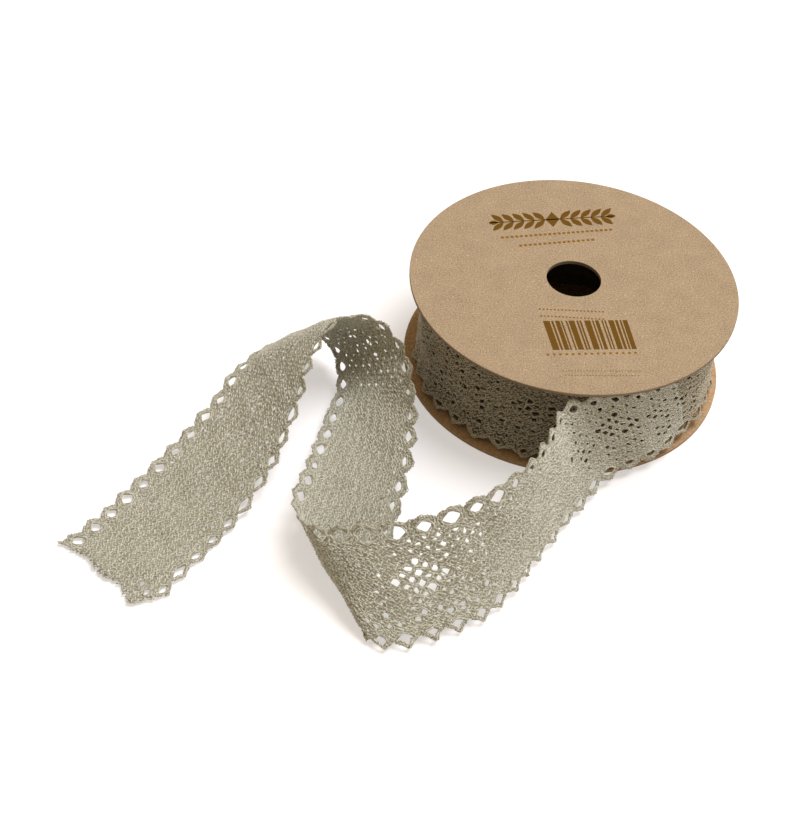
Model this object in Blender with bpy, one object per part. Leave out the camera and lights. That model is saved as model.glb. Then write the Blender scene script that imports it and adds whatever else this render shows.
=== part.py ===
"""A spool of lace ribbon.

Two round kraft boards with a centre hole stand on either end of a wide hollow board tube. Cotton lace is wound
on the tube, and its loose end leaves the roll at the front, runs over the table on its edge, turns over twice
and comes to rest flat on the left. Sizes are in millimetres and are scaled to metres where points are made.
"""
import math

import bmesh
import bpy
import numpy as np

MM = 0.001
GAP = 0.3                     # clearance between neighbouring pieces

# Boards
BOARD_RADIUS = 45.0
BOARD_THICK = 1.0
BOARD_SOFTEN = 0.12           # rounding of the board's cut edge
HOLE_RADIUS = 7.5
SPOOL_HEIGHT = 30.0

# Tube that the lace is wound on
TUBE_OUTER = 34.0
TUBE_WALL = 1.5

# Roll of lace
ROLL_RADIUS = 41.1
ROLL_SHOULDER = 0.7           # how far the roll's ends draw in from its full radius
ROLL_FLARE_HEIGHT = 9.0       # the outer turn starts to spread this far above the lower board
# How far the outer turn spreads at its lower edge: columns are angle in degrees and spread in millimetres
ROLL_FLARE = (
    (-180, 0.5),
    (-165, 1.7),
    (-150, 2.6),
    (-108, 2.6),
    (-92, 1.2),
    (-42, 0.9),
    (-28, 1.5),
    (-10, 0.9),
    (20, 0.3),
    (150, 0.3),
    (180, 0.5),
)

# Loose end: one sheet between an upper and a lower scalloped edge
SHEET_THICK = 1.2
HALF_WIDTH = 14.6
SCALLOP_DEPTH = 1.1
STEPS_PER_SCALLOP = 4
CELLS_ACROSS = 6
# Columns: scallop number, X, Y, Z of the upper edge, X, Y, Z of the lower edge, bow of the middle between them
LOOSE_END = (
    (-15, 25.5, -33.5, 28.0, 33.0, -29.0, 3.5, 0.0),
    (-13, 15.0, -39.5, 28.0, 23.5, -40.0, 3.0, 0.0),
    (-11, 3.5, -42.5, 28.0, 12.0, -47.5, 2.0, 0.0),
    (-9.5, -4.0, -47.0, 28.0, 6.0, -55.5, 1.5, 0.0),
    (-8, -7.0, -56.0, 28.5, 0.5, -63.5, 1.0, 0.0),
    (-6, -12.5, -67.0, 28.5, -7.0, -76.0, 1.0, 0.0),
    (-4, -20.5, -75.0, 27.0, -13.0, -86.5, 1.0, 0.0),
    (-2, -31.5, -80.0, 24.0, -20.5, -96.0, 1.0, 0.0),
    (0, -45.0, -83.0, 20.5, -32.0, -103.0, 1.0, 0.0),
    (1.5, -55.0, -83.0, 18.5, -41.0, -106.5, 1.0, 0.0),
    (3, -63.0, -81.5, 15.5, -48.0, -104.0, 1.0, 0.5),
    (4, -67.5, -77.5, 13.5, -49.0, -96.5, 1.0, 1.5),
    (5, -69.5, -72.0, 12.0, -48.0, -89.0, 1.0, 1.5),
    (8, -68.0, -53.5, 7.5, -42.5, -67.0, 3.5, 0.5),
    (11, -65.0, -34.0, 4.0, -39.5, -46.5, 11.0, 0.5),
    (13, -63.0, -21.0, 3.5, -41.0, -33.5, 17.0, 0.5),
    (15, -65.5, -9.5, 5.0, -45.5, -22.5, 23.0, 0.0),
    (16, -68.5, -6.0, 6.0, -50.5, -19.0, 26.0, 0.0),
    (17, -73.5, -5.5, 6.5, -56.5, -18.5, 27.5, 0.0),
    (18, -78.5, -8.0, 6.5, -61.5, -20.5, 27.5, 1.0),
    (19, -83.0, -11.5, 6.5, -65.0, -25.0, 25.5, 1.5),
    (20, -87.0, -15.5, 6.5, -67.5, -30.0, 22.5, 1.5),
    (21.5, -91.5, -22.5, 6.5, -69.5, -38.0, 17.5, 0.5),
    (23, -95.5, -31.0, 5.0, -72.0, -46.5, 12.0, 0.0),
    (25, -102.0, -42.5, 3.0, -76.0, -57.5, 6.0, 0.0),
    (27, -108.5, -53.5, 1.5, -82.0, -69.5, 2.0, 0.0),
    (29, -115.0, -64.5, 1.0, -88.5, -80.5, 1.0, 0.0),
    (31, -121.0, -74.5, 0.8, -95.0, -91.5, 0.8, 0.0),
    (33.5, -129.0, -86.0, 0.8, -103.0, -104.5, 0.8, 0.0),
)
SPREAD_FROM = 31.0            # beyond this scallop the rows fan out to meet the uneven cut
ROWS_END = 32.6
# Uneven cut: columns are the place across (-1 upper edge, 1 lower edge) and the scallop number of the cut there
CUT_END = (
    (-1.0, 32.6),
    (-0.45, 32.4),
    (-0.05, 32.7),
    (0.3, 32.5),
    (0.65, 33.0),
    (0.85, 32.4),
    (1.0, 31.7),
)

RING_SEGMENTS = 96
ORIGIN_SHIFT = (40.2, 30.92)   # puts the origin under the middle of the whole part's box

# Colours as hex sRGB, then roughness
KRAFT = ("C3A382", 0.85)
TUBE_GREY = ("8A8378", 0.9)
LACE = ("B3AB98", 0.95)


def linear(code):
    """Turn a hex sRGB colour into linear values."""
    parts = [int(code[k:k + 2], 16) / 255 for k in (0, 2, 4)]
    return [p / 12.92 if p <= 0.04045 else ((p + 0.055) / 1.055) ** 2.4 for p in parts]


def material(name, look):
    """One plain material with a colour and a roughness."""
    code, roughness = look
    made = bpy.data.materials.new(name)
    made.use_nodes = True
    shader = made.node_tree.nodes["Principled BSDF"]
    shader.inputs["Base Color"].default_value = (*linear(code), 1.0)
    shader.inputs["Roughness"].default_value = roughness
    shader.inputs["Metallic"].default_value = 0.0
    return made


def place(name, bm, look, parent):
    """Make an object of a bmesh, shaded smooth with its hard edges kept."""
    mesh = bpy.data.meshes.new(name)
    bm.to_mesh(mesh)
    bm.free()
    mesh.shade_smooth()
    mesh.set_sharp_from_angle(angle=math.radians(35))
    mesh.materials.append(material(name, look))
    made = bpy.data.objects.new(name, mesh)
    made.parent = parent
    bpy.context.collection.objects.link(made)
    return made


def turned(profile):
    """Spin a closed outline of (radius, height) pairs about the spool's axis."""
    bm = bmesh.new()
    ring = [bm.verts.new((r * MM, 0, z * MM)) for r, z in profile]
    edges = [bm.edges.new((a, b)) for a, b in zip(ring, ring[1:] + ring[:1])]
    bmesh.ops.spin(
        bm,
        geom=ring + edges,
        cent=(0, 0, 0),
        axis=(0, 0, 1),
        angle=2 * math.pi,
        steps=RING_SEGMENTS,
        use_merge=True,
    )
    bmesh.ops.remove_doubles(bm, verts=bm.verts, dist=1e-6)
    bmesh.ops.recalc_face_normals(bm, faces=bm.faces)
    return bm


def board(base):
    """Outline of a board with a centre hole and a slightly softened rim, from its lower face's height."""
    top = base + BOARD_THICK
    soft = BOARD_SOFTEN
    return [
        (HOLE_RADIUS, base),
        (BOARD_RADIUS - soft, base),
        (BOARD_RADIUS, base + soft),
        (BOARD_RADIUS, top - soft),
        (BOARD_RADIUS - soft, top),
        (HOLE_RADIUS, top),
    ]


def tube_outline():
    """Outline of the tube between the two boards."""
    low = BOARD_THICK + GAP
    high = SPOOL_HEIGHT - BOARD_THICK - GAP
    inner = TUBE_OUTER - TUBE_WALL
    return [(inner, low), (TUBE_OUTER, low), (TUBE_OUTER, high), (inner, high)]


def flare_at(angle):
    """Spread of the outer turn's lower edge at an angle in radians."""
    angles, spreads = np.array(ROLL_FLARE).T
    return float(np.interp(math.degrees(angle), angles, spreads))


def roll():
    """The wound lace: a ring whose outer turn spreads towards its lower edge."""
    low = BOARD_THICK + GAP
    high = SPOOL_HEIGHT - BOARD_THICK - GAP
    inner = TUBE_OUTER + GAP
    flare_top = low + ROLL_FLARE_HEIGHT
    outline = [(inner, low), (ROLL_RADIUS - ROLL_SHOULDER, low)]
    heights = (low + 0.4, low + 1.8, low + 3.6, low + 5.8, flare_top)
    outline += [(ROLL_RADIUS, z) for z in heights]
    outline += [(ROLL_RADIUS, high - 1.2), (ROLL_RADIUS - ROLL_SHOULDER, high), (inner, high)]
    bm = turned(outline)
    for vert in bm.verts:
        radius = math.hypot(vert.co.x, vert.co.y) / MM
        if radius < TUBE_OUTER + 1 or vert.co.z / MM > flare_top:
            continue
        share = (flare_top - vert.co.z / MM) / ROLL_FLARE_HEIGHT
        grown = 1 + flare_at(math.atan2(vert.co.y, vert.co.x)) * share ** 2 / radius
        vert.co.x *= grown
        vert.co.y *= grown
    return bm


def smooth(at, keys, values):
    """Read a smooth curve through the rows of a table: cubic pieces whose slopes are averaged at each row."""
    step = np.diff(keys)
    slope = np.diff(values, axis=0) / step[:, None]
    joint = np.empty_like(values)
    shares = step[1:] + step[:-1]
    joint[1:-1] = (step[1:, None] * slope[:-1] + step[:-1, None] * slope[1:]) / shares[:, None]
    joint[0] = 1.5 * slope[0] - 0.5 * joint[1]
    joint[-1] = 1.5 * slope[-1] - 0.5 * joint[-2]
    k = np.clip(np.searchsorted(keys, at, side="right") - 1, 0, len(step) - 1)
    s = ((at - keys[k]) / step[k])[:, None]
    h = step[k][:, None]
    start = (1 + 2 * s) * (1 - s) ** 2 * values[k] + s * (1 - s) ** 2 * h * joint[k]
    end = s * s * (3 - 2 * s) * values[k + 1] + s * s * (s - 1) * h * joint[k + 1]
    return start + end


def sheet_points(scallop, across):
    """Points of the loose end's middle surface, from scallop numbers and places across (-1 to 1)."""
    rows = np.array(LOOSE_END)
    keys, values = rows[:, 0], rows[:, 1:]
    here = smooth(scallop, keys, values)
    ahead = smooth(scallop + 0.001, keys, values)
    upper, lower, bow = here[:, :3], here[:, 3:6], here[:, 6]
    along = (ahead[:, :3] + ahead[:, 3:6]) - (upper + lower)
    normal = np.cross(along, lower - upper)
    normal /= np.linalg.norm(normal, axis=1)[:, None]
    share = ((1 + across) / 2)[:, None]
    return upper * (1 - share) + lower * share + normal * (bow * (1 - across ** 2))[:, None]


def loose_end():
    """The loose end as one open sheet with scalloped edges and an uneven cut."""
    first = LOOSE_END[0][0]
    count = round((ROWS_END - first) * STEPS_PER_SCALLOP)
    rows = np.linspace(first, ROWS_END, count + 1)
    columns = np.linspace(-1, 1, CELLS_ACROSS + 1)
    scallop, across = np.meshgrid(rows, columns, indexing="ij")
    cut = np.interp(across, *np.array(CUT_END).T)
    past = scallop > SPREAD_FROM
    stretch = (cut - SPREAD_FROM) / (ROWS_END - SPREAD_FROM)
    scallop = np.where(past, SPREAD_FROM + (scallop - SPREAD_FROM) * stretch, scallop)
    notch = SCALLOP_DEPTH / HALF_WIDTH * (1 - np.abs(np.cos(np.pi * scallop)))
    across = np.where(np.abs(across) > 0.99, across * (1 - notch), across)
    points = sheet_points(scallop.ravel(), across.ravel()) * MM
    bm = bmesh.new()
    verts = [bm.verts.new(p) for p in points]
    wide = CELLS_ACROSS + 1
    for row in range(count):
        for column in range(CELLS_ACROSS):
            a = row * wide + column
            bm.faces.new((verts[a], verts[a + 1], verts[a + wide + 1], verts[a + wide]))
    return bm


def main():
    for old in list(bpy.data.objects):
        bpy.data.objects.remove(old)

    spool = bpy.data.objects.new("spool", None)
    bpy.context.collection.objects.link(spool)

    place("flange_bottom", turned(board(0)), KRAFT, spool)
    place("flange_top", turned(board(SPOOL_HEIGHT - BOARD_THICK)), KRAFT, spool)
    place("core", turned(tube_outline()), TUBE_GREY, spool)
    place("roll", roll(), LACE, spool)
    tail = place("tail", loose_end(), LACE, spool)
    thick = tail.modifiers.new("Solidify", "SOLIDIFY")
    thick.thickness = SHEET_THICK * MM
    thick.offset = 0.0
    thick.use_even_offset = True

    # The origin is the middle of the whole part's box, on the table
    bpy.context.view_layer.update()
    spool.location = (ORIGIN_SHIFT[0] * MM, ORIGIN_SHIFT[1] * MM, 0)


main()
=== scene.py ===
"""A spool of lace ribbon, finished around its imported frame.

The two kraft boards and the tube keep their CAD shapes and get their own materials. The wound lace and the
loose end are built as lace: a thin ground cloth, two families of slanting cotton strands that pass over and
under each other, openings that part the strands, and a three-strand plait along each scalloped edge.
Lengths in tables are millimetres in the spool's own frame, whose origin is on the table under its axis.
Places on the flat ribbon are millimetres along it and across it, or scallop numbers along it and shares of
its half width across it, from -1 at the upper edge to 1 at the lower edge.
"""
import math

import bpy
import numpy as np
from bpy.props import FloatProperty, FloatVectorProperty, PointerProperty
from mathutils import Matrix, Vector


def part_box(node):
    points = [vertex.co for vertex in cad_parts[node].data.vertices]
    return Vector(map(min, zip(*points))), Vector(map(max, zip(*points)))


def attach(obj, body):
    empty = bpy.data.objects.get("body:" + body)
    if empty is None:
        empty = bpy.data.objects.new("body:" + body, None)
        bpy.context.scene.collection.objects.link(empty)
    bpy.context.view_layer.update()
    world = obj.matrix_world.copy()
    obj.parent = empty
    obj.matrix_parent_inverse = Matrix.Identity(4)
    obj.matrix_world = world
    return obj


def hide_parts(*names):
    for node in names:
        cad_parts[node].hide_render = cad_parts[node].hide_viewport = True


bl_info = {
    "name": "Spool of lace ribbon",
    "version": (1, 0, 0),
    "blender": (4, 5, 0),
    "location": "3D View > Sidebar > Lace spool",
    "description": "Lace, boards and print for a spool of lace ribbon",
    "category": "Object",
}

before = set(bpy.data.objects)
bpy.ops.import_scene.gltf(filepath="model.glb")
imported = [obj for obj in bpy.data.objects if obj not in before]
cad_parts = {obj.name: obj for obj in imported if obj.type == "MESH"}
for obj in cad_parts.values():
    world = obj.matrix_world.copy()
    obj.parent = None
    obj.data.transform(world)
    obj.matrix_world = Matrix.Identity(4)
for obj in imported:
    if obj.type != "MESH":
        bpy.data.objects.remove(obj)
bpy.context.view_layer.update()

MM = 0.001
# Where the spool's axis stands in the frame, and the spool's height, from the box of the upper board
BOARD_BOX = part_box("flange_top")
SPOOL_PLACE = [round((low + high) / 2 / MM, 2) for low, high in zip(*BOARD_BOX)][:2]
SPOOL_HEIGHT = round(BOARD_BOX[1][2] / MM, 2)

# The lace repeats its edge every scallop and its diamond every second scallop
SCALLOP = 6.25                  # length of one scallop along the ribbon
HALF_WIDTH = 14.6
SCALLOP_DEPTH = 1.3
ROLL_STARTS = -52               # scallop number of the inner end of the outer turn
LEAVES_ROLL = -15               # scallop number where the loose end leaves the roll
RIBBON_ENDS = 34                # scallop number past the cut

# Slanting strands cross on a lattice. Openings lie in its cells, whose middles are counted in half steps
STEP_ALONG = 1.25               # strand crossings repeat at this distance along the ribbon
STEP_ACROSS = 0.8667            # and at this distance across it
HALF_ALONG = STEP_ALONG / 2
HALF_ACROSS = STEP_ACROSS / 2
HALVES = 10                     # half steps along in one scallop
LATTICE_REACH = int(HALF_WIDTH / STEP_ACROSS * 2) + 2

# How far inside the outline each layer of the lace stops
CLOTH_INSET = 0.3
STRAND_INSET = 0.35
STRAND_CLEAR = 0.4
PLAIT_INSET = 0.55

# Loose end, as in the CAD, each row at a scallop number: X, Y, Z of the upper edge, X, Y, Z of the lower
# edge, and how far the cloth bows out between them
LOOSE_END = (
    (-15, 25.5, -33.5, 28.0, 33.0, -29.0, 3.5, 0.0),
    (-13, 15.0, -39.5, 28.0, 23.5, -40.0, 3.0, 0.0),
    (-11, 3.5, -42.5, 28.0, 12.0, -47.5, 2.0, 0.0),
    (-9.5, -4.0, -47.0, 28.0, 6.0, -55.5, 1.5, 0.0),
    (-8, -7.0, -56.0, 28.5, 0.5, -63.5, 1.0, 0.0),
    (-6, -12.5, -67.0, 28.5, -7.0, -76.0, 1.0, 0.0),
    (-4, -20.5, -75.0, 27.0, -13.0, -86.5, 1.0, 0.0),
    (-2, -31.5, -80.0, 24.0, -20.5, -96.0, 1.0, 0.0),
    (0, -45.0, -83.0, 20.5, -32.0, -103.0, 1.0, 0.0),
    (1.5, -55.0, -83.0, 18.5, -41.0, -106.5, 1.0, 0.0),
    (3, -63.0, -81.5, 15.5, -48.0, -104.0, 1.0, 0.5),
    (4, -67.5, -77.5, 13.5, -49.0, -96.5, 1.0, 1.5),
    (5, -69.5, -72.0, 12.0, -48.0, -89.0, 1.0, 1.5),
    (8, -68.0, -53.5, 7.5, -42.5, -67.0, 3.5, 0.5),
    (11, -65.0, -34.0, 4.0, -39.5, -46.5, 11.0, 0.5),
    (13, -63.0, -21.0, 3.5, -41.0, -33.5, 17.0, 0.5),
    (15, -65.5, -9.5, 5.0, -45.5, -22.5, 23.0, 0.0),
    (16, -68.5, -6.0, 6.0, -50.5, -19.0, 26.0, 0.0),
    (17, -73.5, -5.5, 6.5, -56.5, -18.5, 27.5, 0.0),
    (18, -78.5, -8.0, 6.5, -61.5, -20.5, 27.5, 1.0),
    (19, -83.0, -11.5, 6.5, -65.0, -25.0, 25.5, 1.5),
    (20, -87.0, -15.5, 6.5, -67.5, -30.0, 22.5, 1.5),
    (21.5, -91.5, -22.5, 6.5, -69.5, -38.0, 17.5, 0.5),
    (23, -95.5, -31.0, 5.0, -72.0, -46.5, 12.0, 0.0),
    (25, -102.0, -42.5, 3.0, -76.0, -57.5, 6.0, 0.0),
    (27, -108.5, -53.5, 1.5, -82.0, -69.5, 2.0, 0.0),
    (29, -115.0, -64.5, 1.1, -88.5, -80.5, 1.1, 0.0),
    (31, -121.0, -74.5, 1.1, -95.0, -91.5, 1.1, 0.0),
    (32, -124.5, -79.0, 1.1, -98.0, -97.0, 1.1, 0.0),
    (33.5, -131.5, -82.0, 1.1, -103.0, -104.5, 1.1, 0.0),
)
# Uneven cut: the place across (-1 upper edge, 1 lower edge) and the scallop number of the cut there
CUT_END = (
    (-1.0, 32.7),
    (-0.45, 32.4),
    (-0.05, 32.7),
    (0.3, 32.5),
    (0.65, 33.0),
    (0.85, 32.4),
    (1.0, 31.7),
)
# Outer turn of the roll, whose edges settle to these heights and this radius away from the loose end
UPPER_EDGE = 28.3
LOWER_EDGE = 1.9
TURN_RADIUS = 41.25
TURN_PER_SCALLOP = 9.56         # degrees of the roll that one scallop covers
TURN_SHRINKS = 0.01             # the turn's radius shrinks by this much with each scallop wound
LEAVING_ANGLE = -41.3           # where the lower edge leaves the roll, in degrees
UPPER_LAG = 11.4                # the upper edge leaves it this many degrees further on
# Where the loose end leaves, the upper edge has dropped, the lower edge has risen and the turn has swelled
UPPER_DROP = 0.3
LOWER_RISE = 1.6
LEAVING_SWELL = 0.85
# The turn spreads towards its lower edge from FLARE_TOP down, over FLARE_HEIGHT
FLARE_TOP = 10.3
FLARE_HEIGHT = 9
# How far it spreads there: angle in degrees and spread
ROLL_FLARE = (
    (-180, 0.5),
    (-165, 1.7),
    (-150, 2.6),
    (-108, 2.6),
    (-92, 1.4),
    (-60, 1.8),
    (-42, 2.4),
    (-28, 2.6),
    (-10, 2.0),
    (15, 0.5),
    (150, 0.3),
    (180, 0.5),
)
# Plain ring that stands for the turns below: radius and height of its corners, and its steps round
RING_PROFILE = ((34.3, 1.3), (39.6, 1.3), (40.2, 2.2), (40.2, 27.8), (39.6, 28.7), (34.3, 28.7))
RING_STEPS = 96

# Slow waves of the limp cloth: height, millimetres to the radian along and across, and start in radians
SLOW_WAVES = ((0.22, 3.1, 4.0, 0.0), (0.15, 1.9, -2.7, 1.0))
# How far the tips of the upper edge curl back where it leaves the roll: scallop number and curl
CURL = ((-13, 0.0), (-10, 0.6), (-6, 0.7), (-3, 0.0))

# Depth of the scallops at the upper and at the lower edge: scallop number and share of SCALLOP_DEPTH
UPPER_DEPTH = ((-16, 1.3), (-10, 1.7), (-6, 1.6), (-4, 0.9), (3, 0.9), (6, 0.8), (20, 0.8), (24, 1.0))
LOWER_DEPTH = ((-9, 1.3), (-4, 1.6), (3, 1.6), (6, 1.1), (10, 1.4), (20, 1.4), (24, 1.0))
# How pointed the scallops of the lower edge are: scallop number and share
POINTED = ((-9, 0.1), (-7, 0.9), (4, 0.9), (5, 0.1))
# Share by which the scallops of the upper edge are soft waves without knobs: scallop number and share
SOFT_WAVES = ((-16, 0.0), (-13, 1.0), (-5, 1.0), (-3, 0.0))
KNOB = 0.16                     # height of the three small knobs on a scallop

# How far the scallops of the lower edge lie before those of the upper: scallop number and share of a scallop
EDGE_SHIFT = ((-52, 0.0), (3, 0.0), (8, 0.15), (13, -0.2), (22, -0.45), (34, -0.4))
# Openings inside the scallops: scallop number, then half length and half width at the upper and lower edge
EDGE_OPENINGS = (
    (-52, 0.9, 0.7, 0.9, 0.6),
    (-36, 0.9, 0.7, 0.9, 0.6),
    (-22, 1.6, 1.1, 2.3, 1.4),
    (-15, 1.2, 0.9, 2.4, 1.5),
    (-13, 1.1, 0.9, 1.7, 1.1),
    (-10, 1.5, 1.1, 1.7, 1.1),
    (-8, 1.5, 1.2, 1.6, 1.1),
    (-5, 1.6, 1.3, 1.6, 1.1),
    (-3.5, 2.3, 1.7, 2.1, 1.5),
    (2, 2.5, 1.8, 2.3, 1.6),
    (5, 2.0, 1.4, 1.5, 1.0),
    (14, 2.0, 1.4, 1.5, 1.0),
    (16, 1.6, 1.1, 1.5, 1.0),
    (20, 1.7, 1.4, 2.0, 0.9),
    (29, 1.8, 1.6, 2.1, 1.0),
    (34, 1.7, 1.5, 2.0, 1.3),
)
# How far the diamonds are pulled open: scallop number and share
DIAMONDS_OPEN = (
    (-52, 0.75),
    (-36, 0.75),
    (-22, 0.95),
    (-11, 0.95),
    (-9, 0.35),
    (-3, 0.35),
    (-1.9, 0.45),
    (0, 1.0),
    (1.9, 0.45),
    (3, 0.3),
    (13, 0.3),
    (14, 0.5),
    (16, 0.5),
    (18, 0.35),
    (24, 0.45),
    (30, 0.3),
    (31.9, 0.0),
)
# Net of small openings around the diamonds: scallop number and half size
NET_OPEN = (
    (-52, 0.66),
    (-36, 0.66),
    (-22, 0.72),
    (-13, 0.72),
    (-9, 0.36),
    (-4, 0.46),
    (-2, 0.62),
    (3, 0.6),
    (6, 0.3),
    (12.5, 0.3),
    (14, 0.52),
    (16, 0.52),
    (18, 0.34),
    (20, 0.34),
    (24, 0.4),
    (34, 0.3),
)
# Diamonds that lie off their place: scallop number, then half steps along and across
DIAMONDS_SHIFTED = {
    -46: (-2, -8),
    -16: (-2, -6),
    -14: (-2, -6),
    -12: (2, -6),
    0: (-3, -1),
}

# Single openings: scallop number, place across, half length and half width
EXTRA_OPENINGS = (
    (-2.7, 3.6, 0.6, 0.55),
    (-1.9, 7.8, 0.6, 0.55),
    (-1.4, 8.2, 0.95, 0.75),
    (-1.0, 8.8, 0.75, 0.6),
    (-0.6, 8.8, 0.6, 0.55),
    (1.0, 9.0, 0.6, 0.55),
    (14.4, 2.6, 0.8, 0.55),
    (14.8, -4.0, 1.1, 0.7),
    (15.1, 2.0, 1.6, 0.6),
    (15.3, 8.2, 1.3, 0.6),
    (15.6, -1.5, 1.1, 0.7),
    (15.8, 10.0, 1.0, 0.6),
    (31.8, 7.9, 0.8, 0.7),
    (31.9, 10.2, 0.8, 0.6),
    (32.4, 8.2, 0.8, 0.7),
)

# Places of the openings in half steps of the lattice, and their shapes as half length and half width
EDGE_ROW = 27                   # opening inside a scallop
OUTER_ROW = 29                  # the same at the lower edge, but for the stretches between these scallops
INNER_STRETCHES = ((-17, -9), (4, 18))
SIDE_ROW = 24                   # the small opening beside it, at the upper edge
SIDE_STEP = 5                   # it lies this far along, and at the lower edge this far in
SIDE_OPENING = (0.55, 0.45)
DIAMOND_STEP = 3                # distance between neighbours in a diamond and its net
DIAMOND_CELL = (1.0, 0.95)
NET_CELL = (1.1, 0.9)
NET_ROWS = 23                   # the net stays this close to the middle
GAP_ROWS = 25                   # small gaps stay this close to it
GAP_CLEAR = 2.2                 # and this clear of larger openings
UNEVEN_SIZE = (0.75, 1.15)      # openings vary between these shares of their size
# Small gaps between them, on the roll and on the loose end: chance in a cell and largest half size
ROLL_GAPS = (0.5, 0.5)
LOOSE_GAPS = (0.3, 0.34)
SMALLEST_GAP = 0.12
CUTS_CLOTH = 0.38               # the ground cloth is left out in openings with a half length above this

# How uneven the strands are, as standard deviations: along, across and up, and as a share of their width
STRAND_WOBBLE = (0.19, 0.15, 0.05, 0.15)
BENT = 0.3                      # a strand has a point between crossings where it moves further than this
FINER_ON_ROLL = 0.86            # width of the strands on the roll, as a share of the others
# Past the cut, in scallops: how far strands reach, at least and at most, and the ground cloth
STRANDS_PAST = (-0.03, 0.12)
CLOTH_PAST = -0.05
# A plait's points lie this far apart, and it makes one turn in this length
PLAIT_STEP = 0.3
PLAIT_TURN = 2.0
PLAIT_STRAND = 0.165            # half width of one of its strands
PLAIT_LIFT = 0.26               # how far they rise and dip

# Printed blocks on the upper board: bottom left, bottom right, top left and top right corner
ORNAMENT_BLOCK = ((-23.4, 17.6), (13.2, 25.3), (-24.1, 25.8), (13.0, 33.7))
BARS_BLOCK = ((-6.3, -29.4), (15.6, -26.6), (-8.8, -18.4), (13.7, -15.5))
# Sprig, drawn on a flat block of this length and height that is then fitted into the ornament block
SPRIG_SIZE = (37.4, 8.2)
STEM_HALF = 0.22                # half thickness of the stem
LOZENGE_HALF = 2.0
LEAF_PAIRS = 5                  # on each side of the lozenge
FIRST_LEAVES = 2.2              # their distance from its middle, then the distance between pairs
LEAVES_APART = 3.0
LEAF_LEAN = 48
LEAF_SIZE = (5.0, 1.9)
TIP_LEAF = 15.6                 # distance of the leaf at each end
TIP_LEAF_SIZE = (3.0, 1.9)
# Rows of small dots: left end, right end, size of a dot and distance between dots
DOTTED_ROWS = (
    ((-19.6, 15.6), (11.2, 22.9), 1.0, 1.35),
    ((-14.5, 12.6), (5.9, 17.7), 1.0, 1.35),
    ((-9.5, -13.7), (7.4, -12.9), 0.6, 0.95),
    ((-9.2, -16.4), (7.3, -15.9), 0.6, 0.95),
    ((-7.7, -31.3), (15.2, -28.1), 0.8, 1.6),
    ((-3.9, -37.0), (15.9, -34.9), 0.35, 0.75),
    ((-3.2, -38.5), (15.3, -36.7), 0.35, 0.75),
)
# Uneven bars: the gap before a bar and the bar's width
BARS = (
    (0.0, 2.2),
    (0.5, 0.7),
    (0.6, 1.5),
    (0.4, 0.5),
    (1.1, 0.5),
    (0.5, 1.9),
    (0.7, 0.6),
    (0.4, 0.6),
    (1.0, 2.0),
    (0.6, 0.5),
    (0.5, 1.2),
    (0.9, 0.5),
    (0.5, 0.5),
    (0.8, 1.8),
    (0.5, 0.9),
    (0.6, 0.6),
    (0.4, 1.6),
)
INK_THICK = 0.03

# Stage, in metres: the floor, the lamps and the camera, whose place and angles fit the boards' rims
FLOOR_REACH = 3.0
GLOW_COLOUR = (1.0, 0.985, 1.0, 1.0)
LAMP_COLOUR = (1.0, 1.03, 1.09)
KEY_PLACE = (0.95, 0.7, 2.65)
KEY_SIZE = 1.8
SIDE_PLACE = (2.06, -0.74, 0.94)
SIDE_SIZE = 1.0
CAMERA_PLACE = (-0.004304, -0.271006, 0.279497)
CAMERA_RISE = 44.32016          # degrees up from looking straight down
CAMERA_ROLL = 4.30985
LENS = 61.29                    # focal length in millimetres on a sensor 36 mm wide
SENSOR = 36.0


def linear(code):
    """Turn a hex sRGB colour into linear values."""
    parts = [int(code[k:k + 2], 16) / 255 for k in (0, 2, 4)]
    return tuple(p / 12.92 if p <= 0.04045 else ((p + 0.055) / 1.055) ** 2.4 for p in parts)


def colour(name, description, default):
    """A property for a colour. Its default is a hex sRGB colour."""
    return FloatVectorProperty(
        name=name,
        description=description,
        default=linear(default),
        subtype="COLOR",
        min=0,
        max=1,
    )


def fine_length(name, description, default):
    """A property for a length below a millimetre. Its default is in millimetres."""
    return FloatProperty(
        name=name,
        description=description,
        default=default * MM,
        unit="LENGTH",
        precision=5,
    )


class LACESPOOL_PG_lace(bpy.types.PropertyGroup):
    """Sizes and colours of the lace."""

    strand: fine_length("Strand width", "Width of one cotton strand", 0.42)
    wave: fine_length("Over and under", "How far a strand rises and dips where it crosses another", 0.2)
    cloth: fine_length("Ground thickness", "Thickness of the ground cloth behind the strands", 0.2)
    plait: fine_length(
        "Plait width",
        "Width of the plait along the scalloped edge, without its strands",
        0.85,
    )
    cotton: colour("Cotton", "Colour of the strands", "B4B1A3")
    # Painted shade: the strands on the roll are a darker, warmer copy of the cotton, for the weaker light on
    # the upright roll and the dark turns below them
    wound: colour(
        "Wound cotton",
        "Colour of the strands on the roll, which look darker over the dark turns below",
        "A39984",
    )
    # Painted shade: the plaits are a darker copy of the cotton, for the shade between their tight strands
    border: colour("Border", "Colour of the tight plaits along the edges", "A9A492")
    # Painted shade: the ground cloth is a darker copy of the cotton, for the shade in the gaps between the
    # strands
    ground: colour("Ground", "Colour of the ground cloth between the strands", "8B8775")
    depth: colour(
        "Depth",
        "Colour of the ground cloth on the roll, where the turns below keep the light out",
        "40372A",
    )


class LACESPOOL_PG_boards(bpy.types.PropertyGroup):
    """Colours of the boards, the tube and the print."""

    kraft: colour("Kraft", "Colour of the kraft boards", "99856C")
    # Painted shade: the lower board is a warmer copy of the same kraft, for the warm light bounced between
    # the boards onto its shaded face
    kraft_under_painted_shade: colour("Kraft underneath", "Colour of the lower board, which is a warmer brown", "AE8E6C")
    tube: colour("Tube", "Colour of the grey board tube", "8A8378")
    ink: colour("Ink", "Colour of the print", "5E410E")


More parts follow.
